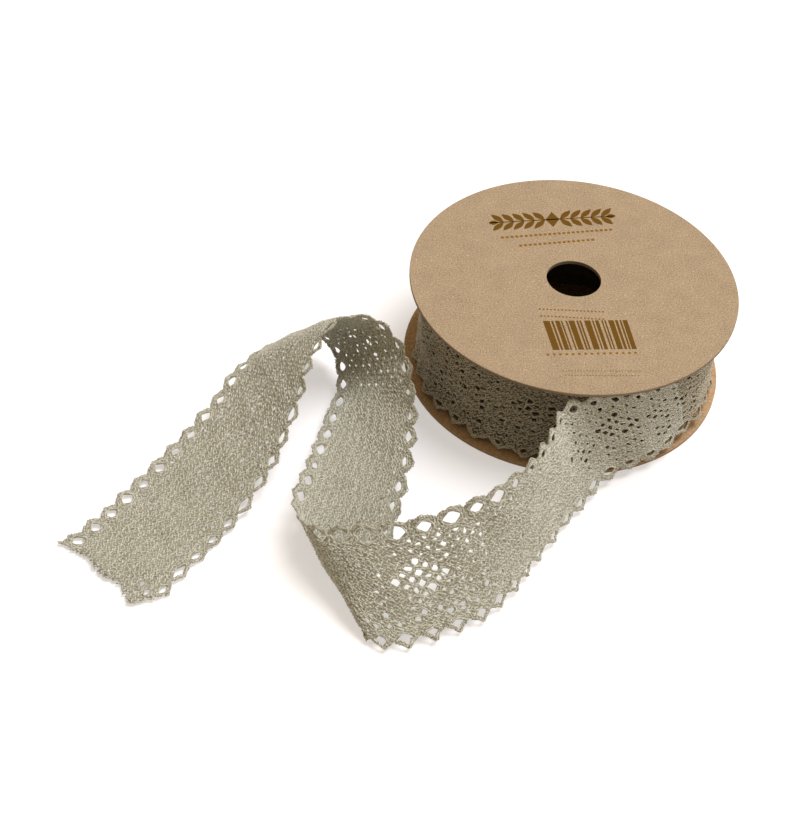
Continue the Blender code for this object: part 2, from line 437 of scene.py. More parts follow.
class LACESPOOL_PG_stage(bpy.types.PropertyGroup):
    """Floor and light."""

    floor: colour("Floor", "Colour of the floor", "C8C5C4")
    glow: FloatProperty(
        name="Floor glow",
        description="Light that comes through the floor, as on a light table",
        default=0.45,
    )
    key: FloatProperty(
        name="Key light",
        description="Power of the large soft light above, behind and to the right",
        default=86.0,
        unit="POWER",
    )
    side: FloatProperty(
        name="Side light",
        description="Power of the low soft light at the right, which reaches in between the boards",
        default=12.5,
        unit="POWER",
    )
    surround: FloatVectorProperty(
        name="Surround",
        description="Colour of the even light from all round",
        default=(0.5, 0.405, 0.255),
        subtype="COLOR",
        min=0,
        max=1,
    )


# Surfaces

def smooth(at, keys, values):
    """Read a smooth curve through the rows of a table: cubic pieces, with an average slope at each row."""
    step = np.diff(keys)
    slope = np.diff(values, axis=0) / step[:, None]
    joint = np.empty_like(values)
    shares = step[1:] + step[:-1]
    joint[1:-1] = (step[1:, None] * slope[:-1] + step[:-1, None] * slope[1:]) / shares[:, None]
    joint[0] = 1.5 * slope[0] - 0.5 * joint[1]
    joint[-1] = 1.5 * slope[-1] - 0.5 * joint[-2]
    k = np.clip(np.searchsorted(keys, at, side="right") - 1, 0, len(step) - 1)
    s = ((at - keys[k]) / step[k])[:, None]
    h = step[k][:, None]
    start = (1 + 2 * s) * (1 - s) ** 2 * values[k] + s * (1 - s) ** 2 * h * joint[k]
    end = s * s * (3 - 2 * s) * values[k + 1] + s * s * (s - 1) * h * joint[k + 1]
    return start + end


def between(at, table):
    """Values of a table with two columns, in straight lines between its rows."""
    return np.interp(at, *np.array(table, float).T)


def loose_surface(scallop, across):
    """Loose end: a straight line between the two edges of the table, bowed along its normal by
    bow (1 - across^2)."""
    rows = np.array(LOOSE_END)
    here = smooth(scallop, rows[:, 0], rows[:, 1:])
    ahead = smooth(scallop + 0.001, rows[:, 0], rows[:, 1:])
    upper, lower, bow = here[:, :3], here[:, 3:6], here[:, 6]
    along = (ahead[:, :3] + ahead[:, 3:6]) - (upper + lower)
    normal = np.cross(along, lower - upper)
    normal /= np.linalg.norm(normal, axis=1)[:, None]
    share = ((1 + across) / 2)[:, None]
    return upper * (1 - share) + lower * share + normal * (bow * (1 - across ** 2))[:, None]


def wound_surface(scallop, across):
    """Outer turn of the roll in polar form: the angle grows steadily with the scallops wound, and the radius
    shrinks slowly inwards and spreads towards the lower edge by the square of the share below the flare's
    top. What differs where the loose end leaves fades by exp of minus the scallops wound, over 1 to 9."""
    wound = LEAVES_ROLL - scallop
    share = (1 + across) / 2
    upper = UPPER_EDGE - UPPER_DROP * np.exp(-wound)
    lower = LOWER_EDGE + LOWER_RISE * np.exp(-wound / 4)
    height = upper * (1 - share) + lower * share
    angle = LEAVING_ANGLE + TURN_PER_SCALLOP * wound - UPPER_LAG * np.exp(-wound / 9) * (1 - share)
    facing = (angle + 180) % 360 - 180
    low = np.clip((FLARE_TOP - height) / FLARE_HEIGHT, 0, 1)
    radius = TURN_RADIUS + LEAVING_SWELL * np.exp(-wound / 2.5) - TURN_SHRINKS * wound
    radius = radius + between(facing, ROLL_FLARE) * low ** 2
    turn = np.radians(angle)
    return np.stack([radius * np.cos(turn), radius * np.sin(turn), height], axis=1)


def ribbon(scallop, across):
    """The whole ribbon: the wound surface before it leaves the roll, then the loose surface. The small step
    between the two fades out over the last few wound scallops."""
    start = np.full_like(scallop, LEAVES_ROLL)
    step = loose_surface(start, across) - wound_surface(start, across)
    wound = np.clip(LEAVES_ROLL - scallop, 0, None)
    rolled = wound_surface(np.minimum(scallop, LEAVES_ROLL), across)
    rolled += step * np.exp(-wound / 1.5)[:, None]
    loose = loose_surface(np.maximum(scallop, LEAVES_ROLL), across)
    return np.where((scallop < LEAVES_ROLL)[:, None], rolled, loose)


def on_ribbon(along, across, lift):
    """Points in metres in the frame, and their outward normals, from places in mm on the flat ribbon and a
    lift along the normal. The normal is the cross product of the surface's two slopes. Strands crowd and
    spread in ridges along the ribbon: places move across it by a small sine of their distance across."""
    crowd = 2.7 * across + 1.3 * np.sin(along / 3.7) + 0.6 * np.sin(along / 1.3)
    across = across + 0.19 * np.sin(crowd) * np.clip(1 - (across / 12.5) ** 4, 0, 1)
    scallop = along / SCALLOP
    place = across / HALF_WIDTH
    near = 0.02
    here = ribbon(scallop, place)
    slope_along = ribbon(scallop + near, place) - ribbon(scallop - near, place)
    slope_across = ribbon(scallop, place + near) - ribbon(scallop, place - near)
    normal = np.cross(slope_along, slope_across)
    normal /= np.linalg.norm(normal, axis=1)[:, None]
    points = here + normal * (lift + ripple(along, across))[:, None]
    points[:, :2] += SPOOL_PLACE
    return points * MM, normal


def ripple(along, across):
    """Small unevenness of limp cloth: slow waves that fade towards the edges, a flutter of the scallops that
    grows with the fourth power of the share across, stronger at the roll's lower edge, and tips that curl
    back by its sixth power where the upper edge leaves the roll."""
    place = across / HALF_WIDTH
    slow = sum(high * np.sin(along / long + across / wide + start) for high, long, wide, start in SLOW_WAVES)
    flutter = 0.3 * np.cos(2 * np.pi * along / SCALLOP) + 0.25 * np.sin(along / 2.3 + np.sign(across))
    stronger = 1 + np.where((along < LEAVES_ROLL * SCALLOP) & (place > 0), 0.8, 0.0)
    curl = between(along / SCALLOP, CURL) * (place < 0)
    tips = 0.5 + 0.5 * np.cos(2 * np.pi * along / SCALLOP) + 0.3 * np.sin(along / 1.7)
    return slow * (1 - place ** 2) + flutter * stronger * place ** 4 - curl * tips * place ** 6


def outline(along, side):
    """Half width of the ribbon at its upper edge (side -1) or lower edge (side 1): scallops whose tips are
    near whole scallop numbers, uneven in depth and place, with three small knobs each. A scallop is round by
    the size of the cosine, pointed by one less the size of the sine, or a soft wave by half of one more than
    the cosine, and most are a mixture."""
    scallop = along / SCALLOP
    place = scallop - np.where(side > 0, between(scallop, EDGE_SHIFT), 0) + 0.04 * np.sin(along / 4.1 + side)
    round_one = np.sqrt(np.cos(np.pi * place) ** 2 + 0.01)
    pointed_one = 1.1 - np.sqrt(np.sin(np.pi * place) ** 2 + 0.01)
    soft_one = 0.52 + 0.48 * np.cos(2 * np.pi * place)
    pointed = np.where(side > 0, between(scallop, POINTED), 0.1)
    soft = between(scallop, SOFT_WAVES) * (side < 0)
    wave = round_one + (pointed_one - round_one) * pointed
    wave += (soft_one - wave) * soft
    deeper = np.where(side > 0, between(scallop, LOWER_DEPTH), between(scallop, UPPER_DEPTH))
    depth = SCALLOP_DEPTH * deeper * (1 + 0.25 * np.sin(along / 5.3 + 2 * side))
    return HALF_WIDTH - 0.15 - depth * (1.005 - wave) + KNOB * (1 - soft) * np.cos(6 * np.pi * place)


def edge_openings(scallop):
    """The large opening inside one scallop and the small one beside it, at both edges."""
    middle = HALVES * scallop
    low_middle = middle + 2 * round(HALVES / 2 * float(between(scallop, EDGE_SHIFT)))
    inner = any(first < scallop < last for first, last in INNER_STRETCHES)
    low_row = EDGE_ROW if inner else OUTER_ROW
    columns = np.array(EDGE_OPENINGS).T
    upper_long, upper_wide, lower_long, lower_wide = [
        float(np.interp(scallop, columns[0], column)) for column in columns[1:]
    ]
    return [
        (middle, -EDGE_ROW, upper_long, upper_wide),
        (low_middle, low_row, lower_long, lower_wide),
        (middle + SIDE_STEP, -SIDE_ROW, *SIDE_OPENING),
        (low_middle + SIDE_STEP, low_row - SIDE_STEP, *SIDE_OPENING),
    ]


def diamond_openings(scallop):
    """A diamond of four by four cells at every second scallop, pulled open by its share, and a net of other
    openings round it, smallest five steps from its middle."""
    share = float(between(scallop, DIAMONDS_OPEN))
    if scallop % 2 or share < 0.05:
        return []
    off_along, off_across = DIAMONDS_SHIFTED.get(scallop, (0, 0))
    middle = HALVES * scallop + off_along
    long, wide = DIAMOND_CELL
    rows = []
    for first in (-1.5, -0.5, 0.5, 1.5):
        for second in (-1.5, -0.5, 0.5, 1.5):
            along = middle + DIAMOND_STEP * (first + second)
            across = off_across + DIAMOND_STEP * (first - second)
            rows.append((along, across, long * share, wide * share))
    net = float(between(scallop, NET_OPEN))
    long, wide = NET_CELL
    for along in range(-3, 3):
        for across in range(-8, 9):
            far = abs(along) + abs(across)
            row = off_across + DIAMOND_STEP * across
            if (along + across) % 2 and far > 3 and abs(row) < NET_ROWS:
                size = net * (0.8 if far == 5 else 1.0)
                rows.append((middle + DIAMOND_STEP * along, row, long * size, wide * size))
    return rows


def small_gaps(larger, rng):
    """Small uneven gaps in cells that lie clear of the larger openings, more of them on the roll."""
    long, wide = NET_CELL
    along, across = np.meshgrid(
        np.arange(HALVES * ROLL_STARTS, HALVES * RIBBON_ENDS),
        np.arange(-GAP_ROWS, GAP_ROWS + 1),
        indexing="ij",
    )
    odd = (along + across) % 2 != 0
    along, across = along[odd], across[odd]
    taken = np.zeros(len(along), bool)
    for row in larger:
        size = row[2:] / (HALF_ALONG, HALF_ACROSS) + GAP_CLEAR
        taken |= np.hypot((along - row[0]) / size[0], (across - row[1]) / size[1]) < 1
    on_roll = along < HALVES * (LEAVES_ROLL + 4)
    chance, largest = np.where(on_roll, np.array(ROLL_GAPS)[:, None], np.array(LOOSE_GAPS)[:, None])
    chosen = ~taken & (rng.uniform(size=len(along)) < chance)
    size = rng.uniform(SMALLEST_GAP, largest[chosen])
    return np.stack([along[chosen], across[chosen], size * long, size * wide], axis=1)


def openings():
    """Places and half sizes in mm of all openings in the lace. Every centre is the middle of a lattice cell,
    an odd number of half steps along and across in all."""
    rng = np.random.default_rng(11)
    rows = []
    for scallop in range(ROLL_STARTS, RIBBON_ENDS):
        rows += edge_openings(scallop) + diamond_openings(scallop)
    for scallop, across, long, wide in EXTRA_OPENINGS:
        row = round(across / HALF_ACROSS)
        rows.append((2 * round(HALVES / 2 * scallop) + (row + 1) % 2, row, long, wide))
    table = np.array(rows, float)
    table[:, 2:] *= rng.uniform(*UNEVEN_SIZE, (len(table), 1))
    table = np.concatenate([table, small_gaps(table, rng)])
    table[:, :2] *= (HALF_ALONG, HALF_ACROSS)
    return table


def parted(along, across, holes):
    """Push places on the flat ribbon away from each opening. At a distance d from its centre, counted in the
    opening's half sizes, a place moves out to the root of d^2 + 1, and this fades to nothing at d = 3. The
    openings of two scallops are taken at a time, with the places up to one and a half scallops from them."""
    moved_along = along.copy()
    moved_across = across.copy()
    for middle in np.arange(ROLL_STARTS, RIBBON_ENDS, 2) * SCALLOP:
        mine = np.abs(holes[:, 0] - middle - SCALLOP / 2) < SCALLOP
        near = np.flatnonzero(np.abs(along - middle - SCALLOP / 2) < 2.5 * SCALLOP)
        centre_along, centre_across, half_along, half_across = holes[mine].T
        off_along = (along[near, None] - centre_along) / half_along
        off_across = (across[near, None] - centre_across) / half_across
        away = np.hypot(off_along, off_across) + 1e-9
        push = (np.sqrt(away ** 2 + 1) - away) / away * (1 - (np.minimum(away, 3) / 3) ** 2) ** 2
        moved_along[near] += (off_along * push * half_along).sum(1)
        moved_across[near] += (off_across * push * half_across).sum(1)
    limit = outline(moved_along, np.sign(moved_across)) - STRAND_CLEAR
    return moved_along, np.clip(moved_across, -limit, limit)


# Meshes

def shown(name, data):
    """Put a mesh, a lamp or a camera into the scene as an object."""
    made = bpy.data.objects.new(name, data)
    bpy.context.collection.objects.link(made)
    return made


def surface_piece(name, points, quads, material, slot):
    """Put points and four-sided faces into a smooth mesh object that rides on the spool."""
    used, index = np.unique(quads, return_inverse=True)
    points = points[used]
    quads = index.reshape(quads.shape)
    mesh = bpy.data.meshes.new(name)
    mesh.vertices.add(len(points))
    mesh.vertices.foreach_set("co", points.astype(np.float32).ravel())
    mesh.loops.add(quads.size)
    mesh.loops.foreach_set("vertex_index", quads.astype(np.int32).ravel())
    mesh.polygons.add(len(quads))
    mesh.polygons.foreach_set("loop_start", np.arange(0, quads.size, 4, dtype=np.int32))
    mesh.update(calc_edges=True)
    mesh.validate()
    mesh.shade_smooth()
    mesh.materials.append(material)
    piece = shown(name, mesh)
    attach(piece, "root")
    return piece


def thicken(piece, thickness, offset=0.0):
    """Give a sheet its thickness."""
    solid = piece.modifiers.new("Thickness", "SOLIDIFY")
    solid.thickness = thickness
    solid.offset = offset


def turned_ring():
    """Points and four-sided faces of a closed ring: each corner of the profile is carried round the spool's
    axis by its radius times the cosine and sine of the turn."""
    turn = np.linspace(0, 2 * np.pi, RING_STEPS, endpoint=False)
    radius, height = np.array(RING_PROFILE).T
    points = np.stack(
        [
            radius * np.cos(turn)[:, None] + SPOOL_PLACE[0],
            radius * np.sin(turn)[:, None] + SPOOL_PLACE[1],
            np.broadcast_to(height, (RING_STEPS, len(height))),
        ],
        axis=-1,
    )
    index = np.arange(points.size // 3).reshape(RING_STEPS, len(height))
    on = np.roll(index, -1, axis=0)
    quads = np.stack([index, on, np.roll(on, -1, axis=1), np.roll(index, -1, axis=1)], axis=-1)
    return points.reshape(-1, 3) * MM, quads.reshape(-1, 4)


def tubes(points, normals, half_width, linked):
    """Four-sided strands along runs of points. linked[k] joins point k to the next. Each point gets four
    corners at plus and minus half a width to the side and along the normal, and both ends of a run are
    closed."""
    count = len(points)
    follows = np.r_[False, linked[:-1]]
    order = np.arange(count)
    along = points[order + linked] - points[order - follows]
    along /= np.linalg.norm(along, axis=1)[:, None] + 1e-12
    side = np.cross(along, normals)
    side /= np.linalg.norm(side, axis=1)[:, None] + 1e-12
    up = np.cross(side, along)
    around = np.stack([side, up, -side, -up], axis=1) * half_width[:, None, None]
    verts = (points[:, None] + around).reshape(-1, 3)
    ring = np.flatnonzero(linked)[:, None] * 4 + np.arange(4)
    turned = np.roll(ring, -1, axis=1)
    walls = np.stack([ring, ring + 4, turned + 4, turned], axis=2).reshape(-1, 4)
    heads = np.flatnonzero(linked & ~follows)[:, None] * 4 + np.arange(4)
    tails = np.flatnonzero(follows & ~linked)[:, None] * 4 + np.arange(3, -1, -1)
    return verts, np.concatenate([walls, heads, tails])


# Lace

def strand_family(slant, holes, sizes):
    """One family of slanting strands over the whole ribbon. Strand m crosses others at whole numbers j:
    along = step along (m + j / 2), across = slant x step across j / 2, and it lies over and under in turn.
    Points between crossings are kept only where an opening moves them."""
    rng = np.random.default_rng(21 + slant)
    number = np.arange(
        int(ROLL_STARTS * SCALLOP / STEP_ALONG) - LATTICE_REACH,
        int(RIBBON_ENDS * SCALLOP / STEP_ALONG) + LATTICE_REACH,
    )
    crossing = np.arange(-LATTICE_REACH, LATTICE_REACH + 0.25, 0.5)
    shape = (len(number), len(crossing))
    along = STEP_ALONG * (number[:, None] + crossing / 2)
    across = np.broadcast_to(slant * STEP_ACROSS * crossing / 2, shape)
    over = np.where(crossing % 1 == 0, np.where(crossing % 2 == 0, 1.0, -1.0), 0.0) * slant
    uneven = rng.normal(0, 1, (4, *shape))
    uneven[:, :, 1::2] = (uneven[:, :, :-1:2] + uneven[:, :, 2::2]) / 2
    ragged = rng.uniform(*STRANDS_PAST, len(number))
    place = np.clip(across / HALF_WIDTH, -1, 1)
    inside = np.abs(across) < outline(along, np.sign(across)) - STRAND_INSET
    inside &= along / SCALLOP > ROLL_STARTS
    inside &= along / SCALLOP < between(place, CUT_END) + ragged[:, None]
    moved_along, moved_across = parted(along.ravel(), across.ravel(), holes)
    moved = np.hypot(moved_along - along.ravel(), moved_across - across.ravel()).reshape(shape)
    kept = inside & ((crossing % 1 == 0) | (moved > BENT))
    at = np.flatnonzero(kept.ravel())
    rows, columns = np.divmod(at, shape[1])
    linked = np.r_[(np.diff(rows) == 0) & (np.diff(columns) <= 2), False]
    wobble = np.array(STRAND_WOBBLE)[:, None] * uneven.reshape(4, -1)[:, at]
    along_at = moved_along[at] + wobble[0]
    across_at = moved_across[at] + wobble[1]
    limit = outline(along_at, np.sign(across_at)) - STRAND_CLEAR
    across_at = np.clip(across_at, -limit, limit)
    lift = np.broadcast_to(over, shape).ravel()[at] * sizes.wave / MM + wobble[2]
    points, normals = on_ribbon(along_at, across_at, lift)
    scallop = along_at / SCALLOP
    finer = np.interp(scallop, (LEAVES_ROLL - 1, LEAVES_ROLL + 5), (FINER_ON_ROLL, 1.0))
    half_width = sizes.strand / 2 * finer * (1 + wobble[3])
    return points, normals, half_width, linked, scallop


def plaits(sizes):
    """Three-strand plaits inside both scalloped edges. Each strand swings to the side by the sine of the
    turn and up and down by the sine of twice the turn, a third of a turn after the one before. Small sines
    of the distance along make the strands uneven."""
    found = []
    for edge in (-1, 1):
        end = float(between(edge, CUT_END)) * SCALLOP + PLAIT_STEP
        along = np.arange(ROLL_STARTS * SCALLOP, end, PLAIT_STEP)
        across = outline(along, edge) - PLAIT_INSET
        slope = np.gradient(across, along)
        long = np.hypot(1, slope)
        turn = 2 * np.pi * np.cumsum(long * PLAIT_STEP) / PLAIT_TURN
        for strand in range(3):
            phase = turn + 2 * np.pi * strand / 3
            swing = sizes.plait / MM / 2 * np.sin(phase) * (1 + 0.25 * np.sin(1.7 * along + strand))
            lift = PLAIT_LIFT * np.sin(2 * phase) + 0.08 * np.sin(3.7 * along + strand)
            place = edge * (across + swing / long)
            points, normals = on_ribbon(along - swing * slope / long, place, lift)
            half_width = PLAIT_STRAND * MM * (1 + 0.3 * np.sin(4.3 * along + 2 * strand))
            linked = np.r_[np.ones(len(points) - 1, bool), False]
            found.append((points, normals, half_width, linked, along / SCALLOP))
    return [np.concatenate(parts) for parts in zip(*found)]


def share_of(strands, first, last):
    """Keep the strand pieces whose middle is between two scallop numbers, as closed tubes."""
    points, normals, half_width, linked, scallop = strands
    middle = scallop + np.r_[np.diff(scallop), 0] / 2
    linked = linked & (middle >= first) & (middle < last)
    return tubes(points, normals, half_width, linked)


def ground(holes, first, last):
    """Ground cloth on the same slanting lattice: one face between each four crossings, left out where an
    opening is. Crossing n on line m is at along = step along (m - n / 2), across = step across n / 2."""
    line, crossing = np.meshgrid(
        np.arange(
            int(first * SCALLOP / STEP_ALONG) - LATTICE_REACH,
            int(last * SCALLOP / STEP_ALONG) + LATTICE_REACH,
        ),
        np.arange(-LATTICE_REACH, LATTICE_REACH + 1),
        indexing="ij",
    )
    along = STEP_ALONG * (line - crossing / 2)
    across = STEP_ACROSS * crossing / 2
    moved_along, moved_across = parted(along.ravel(), across.ravel(), holes)
    points, _ = on_ribbon(moved_along, moved_across, np.zeros(along.size))
    index = np.arange(along.size).reshape(along.shape)
    quads = np.stack([index[:-1, :-2], index[1:, 1:-1], index[1:, 2:], index[:-1, 1:-1]], axis=2)
    middle_along = along[:-1, 1:-1] + HALF_ALONG
    middle_across = across[:-1, 1:-1]
    scallop = middle_along / SCALLOP
    place = np.clip(middle_across / HALF_WIDTH, -1, 1)
    keep = np.abs(middle_across) < outline(middle_along, np.sign(middle_across)) - CLOTH_INSET
    keep &= (scallop >= first) & (scallop < last)
    keep &= scallop < between(place, CUT_END) + CLOTH_PAST
    # A cell's number is a thousand times its half steps along, plus those across. Cells with a large
    # opening stay empty
    lattice = (HALF_ALONG, HALF_ACROSS)
    number = (1000, 1)
    large = np.round(holes[holes[:, 2] > CUTS_CLOTH, :2] / lattice).astype(int)
    cell = np.round(np.stack([middle_along, middle_across], axis=-1) / lattice).astype(int)
    keep &= ~np.isin(cell @ number, large @ number)
    return points, quads[keep]


def lace_pieces(prefix, first, last, sizes, materials):
    """Ground cloth, two strand families and edge plaits of one stretch of the ribbon."""
    holes = openings()
    cloth = surface_piece(prefix + "_cloth", *ground(holes, first, last), materials[prefix], "lace")
    thicken(cloth, sizes.cloth)
    layers = (
        ("_strands_a", "_cotton", strand_family(-1, holes, sizes)),
        ("_strands_b", "_cotton", strand_family(1, holes, sizes)),
        ("_plaits", "_border", plaits(sizes)),
    )
    extras = []
    for name, finish, strands in layers:
        verts, walls = share_of(strands, first, last)
        extras.append(surface_piece(prefix + name, verts, walls, materials[prefix + finish], "lace"))
    return cloth, extras


# Materials

def add(tree, kind, settings=(), values=(), links=()):
    """Add one node. Settings are its own options, values go on its sockets, and a link is the socket, then
    the node and output that it comes from."""
    made = tree.nodes.new(kind)
    for name, value in settings:
        setattr(made, name, value)
    for name, value in values:
        made.inputs[name].default_value = value
    for name, source, output in links:
        tree.links.new(source.outputs[output], made.inputs[name])
    return made


def begin(name, roughness, specular=0.3):
    """A new material with its shader and Object coordinates."""
    made = bpy.data.materials.new(name)
    made.use_nodes = True
    tree = made.node_tree
    shader = tree.nodes["Principled BSDF"]
    shader.inputs["Roughness"].default_value = roughness
    shader.inputs["Specular IOR Level"].default_value = specular
    return made, tree, shader, add(tree, "ShaderNodeTexCoord")


def grains(width):
    """Scale of a noise whose grains are about a width in millimetres."""
    return 1 / (width * MM)


def shade(colour, factor):
    """A colour made lighter or darker, with its alpha."""
    return (*[min(1.0, c * factor) for c in colour], 1.0)


def cotton_material(name, colour, dark, light):
    """Spun cotton: matt, with a soft halo of fibres and changes of tone about as long as a strand is wide,
    where the yarn was spun unevenly. Its fibres are some 0.02 mm wide, drawn at 0.2 mm so they show."""
    made, tree, shader, place = begin(name, 0.9, 0.2)
    shader.inputs["Sheen Weight"].default_value = 0.15
    shader.inputs["Sheen Roughness"].default_value = 0.6
    stitch = add(
        tree,
        "ShaderNodeTexNoise",
        values=[("Scale", grains(0.53)), ("Detail", 2.0)],
        links=[("Vector", place, "Object")],
    )
    tone = add(
        tree,
        "ShaderNodeMapRange",
        values=[("From Min", 0.35), ("From Max", 0.65)],
        links=[("Value", stitch, "Fac")],
    )
    mix = add(
        tree,
        "ShaderNodeMix",
        settings=[("data_type", "RGBA")],
        values=[(6, shade(colour, dark)), (7, shade(colour, light))],
        links=[(0, tone, "Result")],
    )
    fibre = add(
        tree,
        "ShaderNodeTexNoise",
        values=[("Scale", grains(0.2)), ("Detail", 3.0)],
        links=[("Vector", place, "Object")],
    )
    bump = add(
        tree,
        "ShaderNodeBump",
        values=[("Strength", 0.4), ("Distance", 0.00008)],
        links=[("Height", fibre, "Fac")],
    )
    tree.links.new(mix.outputs[2], shader.inputs["Base Color"])
    tree.links.new(bump.outputs["Normal"], shader.inputs["Normal"])
    return made


def kraft_material(name, colour):
    """Kraft board: pressed brown fibres some 0.03 mm wide, drawn at 0.4 mm so they show, clouds of tone 5 mm
    wide, warmer and cooler browns 1.25 mm wide, flecks of paler fibre 0.7 mm wide and sideways faces darker."""
    made, tree, shader, place = begin(name, 0.85, 0.25)
    noises = []
    for width, detail, roughness in ((0.4, 2.0, 0.6), (5.3, 4.0, 0.65), (1.25, 2.0, 0.5), (0.7, 1.0, 0.5)):
        noises.append(
            add(
                tree,
                "ShaderNodeTexNoise",
                values=[("Scale", grains(width)), ("Detail", detail), ("Roughness", roughness)],
                links=[("Vector", place, "Object")],
            )
        )
    grain, cloud, warmth, speck = noises
    warm = add(
        tree,
        "ShaderNodeMapRange",
        values=[("From Min", 0.35), ("From Max", 0.65)],
        links=[("Value", warmth, "Fac")],
    )
    red, green, blue = colour
    base = add(
        tree,
        "ShaderNodeMix",
        settings=[("data_type", "RGBA")],
        values=[
            (6, shade((red * 0.98, green * 1.0, blue * 1.04), 1.0)),
            (7, shade((red * 1.03, green * 0.99, blue * 0.94), 1.0)),
        ],
        links=[(0, warm, "Result")],
    )
    cloudy = add(
        tree,
        "ShaderNodeMath",
        settings=[("operation", "MULTIPLY_ADD")],
        values=[(1, 0.2)],
        links=[(0, cloud, "Fac"), (2, grain, "Fac")],
    )
    tone = add(
        tree,
        "ShaderNodeMapRange",
        values=[("From Min", 0.34), ("From Max", 0.86), ("To Min", 0.52), ("To Max", 1.48)],
        links=[("Value", cloudy, 0)],
    )
    toned = add(
        tree,
        "ShaderNodeVectorMath",
        settings=[("operation", "SCALE")],
        links=[(0, base, 2), ("Scale", tone, "Result")],
    )
    fleck = add(
        tree,
        "ShaderNodeMapRange",
        values=[("From Min", 0.69), ("From Max", 0.74)],
        links=[("Value", speck, "Fac")],
    )
    flecked = add(
        tree,
        "ShaderNodeMix",
        settings=[("data_type", "RGBA")],
        values=[(7, shade(colour, 1.5))],
        links=[(0, fleck, "Result"), (6, toned, 0)],
    )
    # Faces that turn sideways, neither up nor down, go darker, down to half the colour
    facing = add(tree, "ShaderNodeNewGeometry")
    parts = add(tree, "ShaderNodeSeparateXYZ", links=[("Vector", facing, "Normal")])
    level = add(
        tree,
        "ShaderNodeMath",
        settings=[("operation", "ABSOLUTE")],
        links=[(0, parts, "Z")],
    )
    rim = add(
        tree,
        "ShaderNodeMapRange",
        values=[("From Min", 0.2), ("From Max", 0.9)],
        links=[("Value", level, 0)],
    )
    edge = add(
        tree,
        "ShaderNodeMix",
        settings=[("data_type", "RGBA")],
        values=[(6, shade(colour, 0.5))],
        links=[(0, rim, "Result"), (7, flecked, 2)],
    )
    bump = add(
        tree,
        "ShaderNodeBump",
        values=[("Strength", 0.3), ("Distance", 0.0001)],
        links=[("Height", grain, "Fac")],
    )
    tree.links.new(edge.outputs[2], shader.inputs["Base Color"])
    tree.links.new(bump.outputs["Normal"], shader.inputs["Normal"])
    return made


def ink_material(name, colour, strength):
    """Offset ink on kraft: thin, so the board's fibres show through as uneven tone in spots of about half a
    millimetre."""
    made, tree, shader, place = begin(name, 0.8, 0.1)
    fibre = add(
        tree,
        "ShaderNodeTexNoise",
        values=[("Scale", grains(0.55)), ("Detail", 3.0)],
        links=[("Vector", place, "Object")],
    )
    mix = add(
        tree,
        "ShaderNodeMix",
        settings=[("data_type", "RGBA")],
        values=[(6, shade(colour, 0.85 * strength)), (7, shade(colour, 1.3 * strength))],
        links=[(0, fibre, "Fac")],
    )
    tree.links.new(mix.outputs[2], shader.inputs["Base Color"])
    return made


def paint(piece, material):
    """Give every material slot of a piece the same material."""
    if not piece.material_slots:
        piece.data.materials.append(material)
    for slot in piece.material_slots:
        slot.material = material


# Print

def in_block(places, block):
    """Places from 0 to 1 in a printed block, between its corners: bottom left, bottom right, top left and
    top right."""
    bottom_left, bottom_right, top_left, top_right = np.array(block, float)
    u, v = places[..., :1], places[..., 1:]
    lower = bottom_left * (1 - u) + bottom_right * u
    upper = top_left * (1 - u) + top_right * u
    return lower * (1 - v) + upper * v


def bars():
    """Outlines of the uneven bars, from one side of the block to the other."""
    total = sum(gap + width for gap, width in BARS)
    place = 0.0
    found = []
    for gap, width in BARS:
        left = (place + gap) / total
        place += gap + width
        right = place / total
        found.append(np.array([(left, 0.0), (right, 0.0), (right, 1.0), (left, 1.0)]))
    return found


def leaf(base, lean, length, width):
    """Outline of a leaf in millimetres: its half width is width / 2 x sine of pi x share of its length."""
    share = np.linspace(0, 1, 9)
    half = width / 2 * np.sin(np.pi * share)
    one_side = np.stack([share * length, half], axis=1)
    flat = np.concatenate([one_side, one_side[-2:0:-1] * (1, -1)])
    turn = math.radians(lean)
    spin = np.array([(math.cos(turn), math.sin(turn)), (-math.sin(turn), math.cos(turn))])
    return flat @ spin + base


def sprig(long, high):
    """A plain sprig that fills a block: a thin stem with pairs of leaves that lean out from a lozenge in its
    middle, and one leaf at each end."""
    middle = np.array([long / 2, high / 2])
    half = STEM_HALF
    stem = np.array([(0.5, -half), (long - 0.5, -half), (long - 0.5, half), (0.5, half)]) + (0, high / 2)
    tall = high * 0.42
    lozenge = np.array([(-LOZENGE_HALF, 0), (0, -tall), (LOZENGE_HALF, 0), (0, tall)]) + middle
    found = [stem, lozenge]
    for side, ahead in ((-1, 180), (1, 0)):
        for pair in range(LEAF_PAIRS):
            base = middle + (side * (FIRST_LEAVES + LEAVES_APART * pair), 0)
            for lean in (-LEAF_LEAN, LEAF_LEAN):
                found.append(leaf(base, ahead + side * lean, *LEAF_SIZE))
        found.append(leaf(middle + (side * TIP_LEAF, 0), ahead, *TIP_LEAF_SIZE))
    return [shape / (long, high) for shape in found]


def dots(left, right, size, apart):
    """Outlines of a row of small eight-sided dots between two points."""
    left, right = np.array(left), np.array(right)
    count = int(np.linalg.norm(right - left) / apart) + 1
    turn = np.linspace(0, 2 * np.pi, 8, endpoint=False)
    ring = np.stack([np.cos(turn), np.sin(turn)], axis=1) * size / 2
    return [ring + left + (right - left) * k / (count - 1) for k in range(count)]


